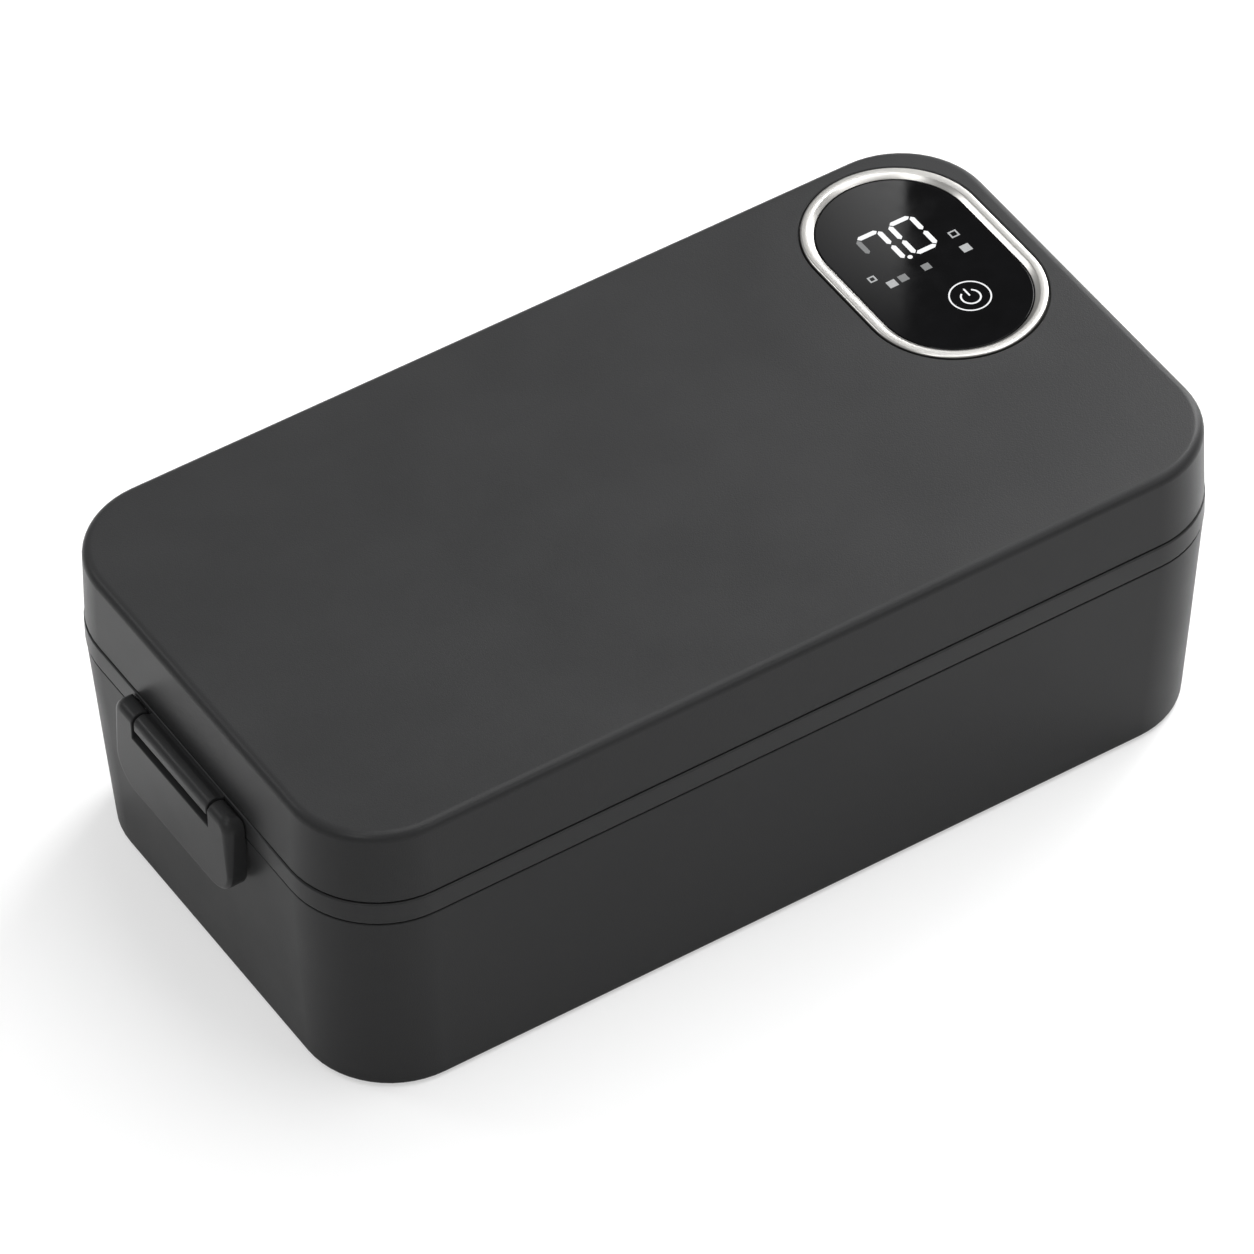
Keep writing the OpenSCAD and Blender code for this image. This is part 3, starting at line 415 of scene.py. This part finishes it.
def base_skin():
    edge, foot, foot_r, lip = 1.2, DRAFT + WALL, 22.5, 0.3
    wall_z = BASE_Z + edge
    rings = [inset(foot, BASE_Z), inset(foot - 0.6, BASE_Z, 18.6)]
    rings += [inset(DRAFT - x, BASE_Z + z, foot_r + x) for x, z in arc(-edge, edge, edge, -90, 0, 8)]
    for k in (0.35, 0.7):
        z = wall_z + (BASE_TOP - wall_z) * k
        lean = DRAFT * (1 - (z - BASE_Z) / (BASE_TOP - BASE_Z))
        rings.append(inset(lean, z, foot_r + (CASE_R - foot_r) * k))
    rings += [inset(-x, BASE_TOP + z) for x, z in arc(-lip, -lip, lip, 0, 90, 5)]
    # a shallow groove behind the parting line keeps it dark
    groove = ((0.36, 0.02), (0.44, 1.1), (1.3, 1.1), (1.4, 0), (WALL - lip, 0), (WALL, lip))
    rings += [inset(d, BASE_TOP - drop) for d, drop in groove]

    # the ledge that carries the well, the screw posts and the catch under the latch
    near, far, ledge_z, ledge_top = WALL - 0.2, WALL + 3, 53.0, 55.0
    ledge = [inset(near, ledge_z), inset(far, ledge_z), inset(far, ledge_top), inset(near, ledge_top)]
    parts = [skin(rings, wrap=True), skin(ledge, wrap=True)]
    post_r, post_h = 3.4, 8.0
    cover_posts = [(x * 107.32, y * 51.82) for x in SIDES for y in SIDES] + [(0, y * 56.1) for y in SIDES]
    well_posts = [(x * 60, y * 59.1) for x in SIDES for y in SIDES]
    for spots, z in ((cover_posts, 3.2), (well_posts, ledge_top - post_h)):
        parts += [prism(disc(x, y, post_r, 24), z, z + post_h, "z") for x, y in spots]
    catch_in, catch_out, catch_low, catch_top, slope = -118.8, -121.6, 47.6, 49.4, 0.4
    parts.append(barrel_prism([(catch_out, catch_low), (catch_out, catch_top - slope),
                               (catch_out + slope, catch_top), (catch_in, catch_top),
                               (catch_in, catch_low)], 0.25, 2))
    parts += [knuckle(y, w, -1) for y, w in BASE_KNUCKLES]
    return merge(*parts)


def band_skin():
    proud, e, lip, shelf = 0.2, 0.42, 0.3, 9
    rings = [inset(WALL, BAND_Z + lip), inset(WALL - lip, BAND_Z)]
    rings += [inset(-x - proud, BAND_Z + z) for x, z in arc(-e, e, e, -90, 0, 5)]
    rings += [inset(-x - proud, BAND_TOP + z) for x, z in arc(-e, -e, e, 0, 90, 5)]
    groove = ((0.33, 0.01), (0.4, 1.0), (1.3, 1.0), (1.4, 0))
    rings += [inset(d, BAND_TOP - drop) for d, drop in groove]
    rings += [inset(WALL + shelf, BAND_TOP), inset(WALL + shelf, BAND_TOP - 2), inset(WALL, BAND_TOP - 2)]
    # the rim that the cover sits round
    out, inner, low, top = 2.6, 3.8, 63.6, 66.2
    rim = [inset(out, low), inset(out, top), inset(inner, top), inset(inner, low)]
    # the barrel between the latch's ears: a flat front, round on top
    x, z, r = LATCH
    front, back, under, seat = x - 2.5, x + r + 1.2, z - 1.5, 63.75
    barrel = [(front, under), (front, z + 0.1)] + arc(x - 0.2, z + 0.3, 2.3, 172, 75, 14)
    barrel += [(x + 1.7, seat), (back, seat), (back, under)]
    return merge(skin(rings, wrap=True), skin(rim, wrap=True), barrel_prism(barrel, 0.35),
                 *(knuckle(y, w, 1) for y, w in LID_KNUCKLES))


def cover_skin():
    lean, edge, e, lip, under = 0.4, 2.4, 0.35, 0.3, CASE_TOP - WALL
    outside = [inset(WALL, COVER_Z + lip), inset(WALL - lip, COVER_Z)]
    outside += [inset(-x, COVER_Z + z) for x, z in arc(-e, e, e, -90, 0, 4)]
    outside += [inset(lean - x, CASE_TOP + z) for x, z in arc(-edge, -edge, edge, 0, 90, 14)]
    outside.append(inset(lean + edge + 0.6, CASE_TOP))
    inside = [inset(WALL, COVER_Z + lip), inset(2.8, under - 1), inset(3.6, under)]
    # the display's pocket in the top, and the wall round its opening on the inner side
    wide, opening, collar, slope = DISP_W / 2 + 0.4, DISP_W / 2 - 2.2, DISP_W / 2 + 2.5, 0.25
    pocket = [stadium(wide + slope, CASE_TOP), stadium(wide, CASE_TOP - slope), stadium(wide, SEAT_Z),
              stadium(opening, SEAT_Z), stadium(opening, OPENING_Z)]
    collar_walls = [stadium(collar, under), stadium(collar, OPENING_Z), stadium(opening, OPENING_Z)]
    shells = (outside, inside, pocket, collar_walls)
    verts, faces = merge(*(skin(rings) for rings in shells))

    def loop(shell, ring):
        """Where a ring's points are among all points."""
        rings = shells[shell]
        n = len(rings[0])
        start = sum(len(points) for other in shells[:shell] for points in other) + ring % len(rings) * n
        return list(range(start, start + n))

    faces += bridge(verts, loop(0, -1), loop(2, 0))
    faces += bridge(verts, loop(1, -1), loop(3, 0))
    return verts, faces


def bridge(verts, outer, inner):
    """Triangles in the flat band between an outer and an inner loop."""
    loops = outer + inner
    lines = [[Vector(verts[i]) for i in loop] for loop in (outer, inner)]
    return [tuple(loops[i] for i in t) for t in tessellate_polygon(lines)]


def boolean(a, b, operation):
    """The shape a with the shape b cut away, or what they share."""
    pair = []
    for shape in (a, b):
        me = bpy.data.meshes.new("operand")
        fill(me, *shape)
        pair.append(linked("operand", me))
    m = pair[0].modifiers.new("boolean", "BOOLEAN")
    m.operation, m.object, m.solver = operation, pair[1], "EXACT"
    bpy.context.view_layer.update()
    me = bpy.data.meshes.new_from_object(pair[0].evaluated_get(bpy.context.evaluated_depsgraph_get()))
    out = [tuple(v.co) for v in me.vertices], [tuple(p.vertices) for p in me.polygons]
    bpy.data.meshes.remove(me)
    for o in pair:
        old = o.data
        bpy.data.objects.remove(o)
        bpy.data.meshes.remove(old)
    return out


def rounded(shape, offset, keep):
    """The same shape with the sharp edges rounded that keep picks by their middle."""
    bm = bmesh.new()
    vs = [bm.verts.new(v) for v in shape[0]]
    for f in shape[1]:
        bm.faces.new([vs[i] for i in f])
    bmesh.ops.remove_doubles(bm, verts=bm.verts, dist=0.002)
    bmesh.ops.dissolve_limit(bm, angle_limit=math.radians(0.5), verts=bm.verts, edges=bm.edges)
    bmesh.ops.recalc_face_normals(bm, faces=bm.faces)
    soften(bm, 50, offset, 3, keep)
    return shape_of(bm)


def flap_skin():
    x, z, _ = LATCH
    half, w, top, turn = BARREL_W / 2 + 0.7, LATCH_W / 2, z + 2.4, 3.8
    low_soft, top_soft = 1.15, 2.3
    low_y, low_z, top_y, top_z = w - FLAP_R, FLAP_LOW + FLAP_R, w - turn, top - turn
    corners = ((LATCH_Y + low_y, low_z, FLAP_R, 270, low_soft), (LATCH_Y + top_y, top_z, turn, 0, top_soft),
               (LATCH_Y - top_y, top_z, turn, 90, top_soft), (LATCH_Y - low_y, low_z, FLAP_R, 180, low_soft))

    def flat(h, d):
        """The outline moved in by d, at one height."""
        return [(h, y, k) for cy, cz, radius, start, _ in corners
                for y, k in arc(cy, cz, radius - d, start, start + 90, 12)]

    def edge(a):
        """The outline at one step of its rounded edge; each corner has its own rounding."""
        out = []
        for cy, cz, radius, start, soft in corners:
            d, h = soft * (1 - math.cos(a)), FLAP_OUT + soft * (1 - math.sin(a))
            out += [(h, y, k) for y, k in arc(cy, cz, radius - d, start, start + 90, 12)]
        return out

    rings = [flat(FLAP_IN, 0.4), flat(FLAP_IN - 0.1, 0.1), flat(FLAP_IN - 0.4, 0.0)]
    body = skin(rings + [edge(math.pi / 16 * i) for i in range(9)], caps=(0, -1))

    def cut(shape, points, reach, operation="DIFFERENCE"):
        return boolean(shape, prism(points, LATCH_Y - reach, LATCH_Y + reach, "y"), operation)

    # the notch between the ears; the cutting shapes reach past the flap on all open sides
    outer, inner, above, below, notch_z = -128, -119, 67, 36, 57.7
    body = cut(body, [(outer, notch_z), (outer, above), (inner, above), (inner, notch_z)], half)
    # the ears' backs are round about the pin, so that they clear the lid as they turn
    ear_in = FLAP_IN + 0.2
    turned = [(outer, below), (ear_in, below), (ear_in, z - 0.5)]
    turned += arc(x, z, 2.4, 0, 90, 16) + [(outer, top + 0.01)]
    body = cut(body, turned, 30, "INTERSECT")
    body = rounded(body, 0.3, lambda c: abs(c.y - LATCH_Y) <= half + 0.05 and c.z > notch_z - 0.7)
    # a pocket in the back, open between the ears down to the flap's edge
    d, back = 2, -119.5
    pocket = arc(LATCH_Y - low_y, low_z, FLAP_R - d, 180, 270, 12)
    pocket += arc(LATCH_Y + low_y, low_z, FLAP_R - d, 270, 360, 12)
    pocket += [(LATCH_Y + w - d, POCKET_TOP), (LATCH_Y - w + d, POCKET_TOP)]
    body = boolean(body, prism(pocket, FLAP_OUT + d, back, "x"), "DIFFERENCE")
    slot_x = -121.8
    body = cut(body, [(slot_x, below), (slot_x, POCKET_TOP), (back, POCKET_TOP), (back, below)], half)
    hook_out, hook_low, hook_top, slope = -123.6, 45.4, 47.4, 0.3
    hook = barrel_prism([(hook_out, hook_low), (hook_out, hook_top), (slot_x - slope, hook_top),
                         (slot_x, hook_top - slope), (slot_x, hook_low)], 0.15, 2)
    return merge(body, hook)


piece("base_housing", base_skin(), "base", "case_plastic", "base_shell")
piece("lid_band", band_skin(), "lid", "frame_plastic", "lid_frame")
piece("lid_top", cover_skin(), "lid", "lid_plastic", "lid_cover")
piece("latch_flap_skin", flap_skin(), "latch", "latch_plastic", "latch_flap")


# Display

def display_ring():
    out, inside, corner = DISP_W / 2, DISP_W / 2 - RING_W, 0.55
    prof = [(inside, SEAT_Z), (out - 0.1, SEAT_Z), (out, SEAT_Z + 0.1)]
    prof += arc(out - corner, RING_TOP - corner, corner, 0, 80, 5)
    prof += [(out - 1.1, RING_TOP), (inside + 1.35, RING_TOP - 0.02), (inside + 1.05, RING_TOP - 0.1),
             (inside + 0.08, RING_TOP - 0.86), (inside, RING_TOP - 1.0)]
    return skin([stadium(d, z, 48) for d, z in prof], wrap=True)


def display_panel():
    r, edge, thick = DISP_W / 2 - RING_W - 0.2, 0.25, 1.5
    prof = [(r, GLASS_TOP - thick)] + arc(r - edge, GLASS_TOP - edge, edge, 0, 90, 4)
    return skin([stadium(d, z, 48) for d, z in prof], caps=(0, -1))


piece("display_ring_skin", display_ring(), "lid", "ring_steel", "display_ring")
piece("display_panel", display_panel(), "lid", "display_glass", "display_glass")

SIGN_Z, SIGN_H = GLASS_TOP - 0.004, 0.03
DIGIT_Y, DIGIT_W, DIGIT_H = 34.75, 5.9, 11.3
LEFT_DIGIT, RIGHT_DIGIT = 86.85, 95.75
BAR_W, BAR_GAP = 1.3, 0.5
POWER_X, POWER_Y, POWER_R = 95.3, 10.4, 4.85


def sign(points):
    return prism(points, SIGN_Z, SIGN_Z + SIGN_H, "z")


def stem(x, low, high, w):
    """An upright bar with round ends."""
    return sign(arc(x, low, w / 2, 180, 360, 10) + arc(x, high, w / 2, 0, 180, 10))


def bar(x, y, length, along):
    """One bar of a digit, with pointed ends."""
    h, k = length / 2, BAR_W / 2
    pts = [(-h, 0), (-h + k, k), (h - k, k), (h, 0), (h - k, -k), (-h + k, -k)]
    return sign([(x + (u if along == "x" else v), y + (v if along == "x" else u)) for u, v in pts[::-1]])


def digit(x, bars):
    """A seven-bar digit; the bars count from the top clockwise, the middle one last."""
    parts = []
    for b in bars:
        if b in (0, 3, 6):
            y = DIGIT_Y + {0: DIGIT_H / 2, 3: -DIGIT_H / 2, 6: 0}[b]
            parts.append(bar(x, y, DIGIT_W - BAR_GAP, "x"))
        else:
            side = DIGIT_W / 2 if b < 3 else -DIGIT_W / 2
            y = DIGIT_Y + (DIGIT_H / 4 if b in (1, 5) else -DIGIT_H / 4)
            parts.append(bar(x + side, y, DIGIT_H / 2 - BAR_GAP, "y"))
    return merge(*parts)


def block(x, y, hx, hy):
    return sign([(x - hx, y - hy), (x + hx, y - hy), (x + hx, y + hy), (x - hx, y + hy)])


def square(x, y, size, line=0.0):
    """A filled square, or the outline of one."""
    s, k = size / 2, line / 2
    if not line:
        return block(x, y, s, s)
    return merge(*(block(x + u * (s - k), y, k, s) for u in (1, -1)),
                 *(block(x, y + v * (s - k), s - line, k) for v in (1, -1)))


def hoop(x, y, r, w, n=72):
    """A ring line."""
    inner, outer, top = r - w / 2, r + w / 2, SIGN_Z + SIGN_H
    profile = ((inner, SIGN_Z), (outer, SIGN_Z), (outer, top), (inner, top))
    return skin([[(px, py, z) for px, py in disc(x, y, rad, n)] for rad, z in profile], wrap=True)


def open_hoop(x, y, r, w, start, end, n=72):
    """Part of a ring line."""
    return sign(arc(x, y, r + w / 2, start, end, n) + arc(x, y, r - w / 2, end, start, n))


digits = merge(
    digit(LEFT_DIGIT, (0, 1, 2)),
    digit(RIGHT_DIGIT, (0, 1, 2, 3, 4, 5)),
    sign(disc(91.1, 28.9, 0.62, 20)))
power = merge(
    hoop(POWER_X, POWER_Y, POWER_R, 0.36),
    open_hoop(POWER_X, POWER_Y - 0.3, 2.3, 0.42, 125, 415),
    stem(POWER_X, POWER_Y + 0.3, POWER_Y + 2.6, 0.42))
icons = merge(
    square(103.8, 29.8, 2.2, 0.4), square(103.5, 24.3, 2.4), square(82.7, 23.7, 2.3),
    square(79.7, 27.5, 1.9, 0.4))
dim = merge(square(92.4, 24.1, 2.1), square(85.9, 23.9, 2.2), digit(LEFT_DIGIT, (5,)))
piece("display_digits", digits, "lid", "display_glass", look="display_light")
piece("display_power_sign", power, "lid", "display_glass", look="display_light")
piece("display_icons", icons, "lid", "display_glass", look="display_dim")
piece("display_dim_signs", dim, "lid", "display_glass", look="display_faint")


# Camera, light and floor

# Fitted to the photo's outlines: angles in degrees, place in millimetres
VIEW_AZ, VIEW_EL, VIEW_ROLL = -31.65, 45.10, -1.48
VIEW_SIDE, VIEW_UP, VIEW_FAR = -5.67, 26.59, 2429.7
LENS, SENSOR = 301.9, 36


def camera():
    az, el, roll = map(math.radians, (VIEW_AZ, VIEW_EL, VIEW_ROLL))
    back = Vector((math.sin(az) * math.cos(el), -math.cos(az) * math.cos(el), math.sin(el)))
    right = Vector((math.cos(az), math.sin(az), 0))
    up = back.cross(right)
    r = right * math.cos(roll) + up * math.sin(roll)
    u = up * math.cos(roll) - right * math.sin(roll)
    cam = bpy.data.cameras.new("camera")
    cam.lens, cam.sensor_width = LENS, SENSOR
    cam.clip_start, cam.clip_end = 0.05, 60
    o = linked("camera", cam)
    m = Matrix((r, u, back)).transposed().to_4x4()
    place = r * VIEW_SIDE * MM + u * VIEW_UP * MM + back * VIEW_FAR * MM
    m.translation = place + Vector((0, 0, BASE_Z * MM))
    o.matrix_world = m
    bpy.context.scene.camera = o


LAMP_TARGET = Vector((0, 0, 0.04))
# Name, place, size and power of each soft box
LAMPS = (
    ("top_box", (0.5, -0.1, 1.5), (1.2, 1.2), 16.0),
    ("edge_box", (-0.5, -0.25, 1.5), (0.35, 0.35), 2.5),
    ("left_back_box", (-1.1, 1.35, 1.2), (0.45, 0.45), 5.0),
    ("left_top_box", (-1.2, -0.77, 1.37), (0.4, 0.4), 5.0),
    ("front_box", (0.74, -1.41, 1.2), (0.8, 0.4), 4.0),
    ("right_box", (0.82, 0.45, 0.75), (0.4, 0.4), 7.5),
    ("right_back_box", (1.5, 0.6, 0.6), (0.7, 0.9), 14.0),
)


def lamp(name, place, size, power):
    """A soft box: a rectangle light at a place, turned to the object."""
    light = bpy.data.lights.new(name, "AREA")
    light.shape, light.size, light.size_y = "RECTANGLE", size[0], size[1]
    light.energy = power
    o = linked(name, light)
    o.location = place
    o.rotation_euler = (LAMP_TARGET - Vector(place)).to_track_quat("-Z", "Y").to_euler()
    o.visible_camera = False


def bare_material(name):
    """A material whose tree has only its output yet: gives the material, the tree and the output."""
    m = bpy.data.materials.new(name)
    m.use_nodes = True
    m.node_tree.nodes.clear()
    return m, m.node_tree, add(m.node_tree, "ShaderNodeOutputMaterial")


FRAME = 1254
# Pixels where the card's mirror image shows: two on its straight edge and one to the side
CARD_TOP, CARD_LOW, CARD_SIDE = (905, 180), (905, 330), (800, 180)
CARD_Z = 1.5


def mirrored(px, py, height):
    """Where a ray from a point of the frame lands at a height, after the glass has turned it up."""
    cam = bpy.context.scene.camera
    o = cam.matrix_world.translation
    k = cam.data.sensor_width / cam.data.lens / FRAME
    d = cam.matrix_world.to_3x3() @ Vector(((px - FRAME / 2) * k, (FRAME / 2 - py) * k, -1))
    glass = o + d * ((GLASS_TOP * MM - o.z) / d.z)
    return glass + Vector((d.x, d.y, -d.z)) * ((height - glass.z) / -d.z)


def soft_card():
    """A small pale card that the left part of the display mirrors, with a straight edge and a fading face."""
    top, low, far = (mirrored(*q, CARD_Z) for q in (CARD_TOP, CARD_LOW, CARD_SIDE))
    x, y = far - top, low - top
    corners = ((0, -0.6), (0, 1.8), (1.6, 1.8), (1.6, -0.6))
    me = bpy.data.meshes.new("soft_card")
    me.from_pydata([top + x * u + y * v for u, v in corners], [], [(0, 1, 2, 3)])
    o = linked("soft_card", me)
    m, t, out = bare_material("soft_card")
    c = add(t, "ShaderNodeTexCoord")

    def along(axis, a, b):
        """A value that goes from a at the card's top to b at the axis' end."""
        n = add(t, "ShaderNodeVectorMath", operation="DOT_PRODUCT")
        t.links.new(c.outputs["Object"], n.inputs[0])
        n.inputs[1].default_value = axis / axis.length_squared
        base = top.dot(axis) / axis.length_squared
        return ramp(t, n.outputs["Value"], base, base + 1, a, b)

    both = add(t, "ShaderNodeMath", operation="MULTIPLY")
    down = y - x * (y.dot(x) / x.length_squared)
    side = x - y * (x.dot(y) / y.length_squared)
    t.links.new(along(down, 8.0, 0.9), both.inputs[0])
    t.links.new(along(side, 1.0, 0.4), both.inputs[1])
    glow = add(t, "ShaderNodeEmission", Color=(1, 1, 1, 1))
    t.links.new(both.outputs[0], glow.inputs["Strength"])
    t.links.new(glow.outputs[0], out.inputs["Surface"])
    me.materials.append(m)
    o.visible_camera = False


def white_floor():
    """White to the camera and in mirroring surfaces, with the object's shadow; grey to all other rays."""
    bpy.ops.mesh.primitive_plane_add(size=12, location=(0, 0, 0))
    o = bpy.context.object
    o.name = "floor"
    m, t, out = bare_material("floor")
    plain = add(t, "ShaderNodeBsdfDiffuse", Color=(0.35, 0.35, 0.35, 1))
    white = add(t, "ShaderNodeBsdfDiffuse", Color=(1, 1, 1, 1))
    glow = add(t, "ShaderNodeEmission", Color=(1, 1, 1, 1), Strength=1)
    path = add(t, "ShaderNodeLightPath")
    # the camera sees more glow and less shadow than a mirroring surface does
    seen = add(t, "ShaderNodeMixShader")
    t.links.new(ramp(t, path.outputs["Is Camera Ray"], 0, 1, 0.1, 0.44), seen.inputs[0])
    t.links.new(white.outputs[0], seen.inputs[1])
    t.links.new(glow.outputs[0], seen.inputs[2])
    either = path.outputs["Is Camera Ray"]
    for other in ("Is Glossy Ray", "Is Transmission Ray"):
        n = add(t, "ShaderNodeMath", operation="MAXIMUM")
        t.links.new(either, n.inputs[0])
        t.links.new(path.outputs[other], n.inputs[1])
        either = n.outputs[0]
    mix = add(t, "ShaderNodeMixShader")
    t.links.new(either, mix.inputs[0])
    t.links.new(plain.outputs[0], mix.inputs[1])
    t.links.new(seen.outputs[0], mix.inputs[2])
    t.links.new(mix.outputs[0], out.inputs["Surface"])
    o.data.materials.append(m)


camera()
world = bpy.data.worlds.new("studio")
bpy.context.scene.world = world
world.use_nodes = True
sky = world.node_tree.nodes["Background"]
sky.inputs["Color"].default_value = (1, 1, 1, 1)
sky.inputs["Strength"].default_value = 0.38
for box in LAMPS:
    lamp(*box)
soft_card()
white_floor()

bpy.context.scene.view_settings.view_transform = "Standard"
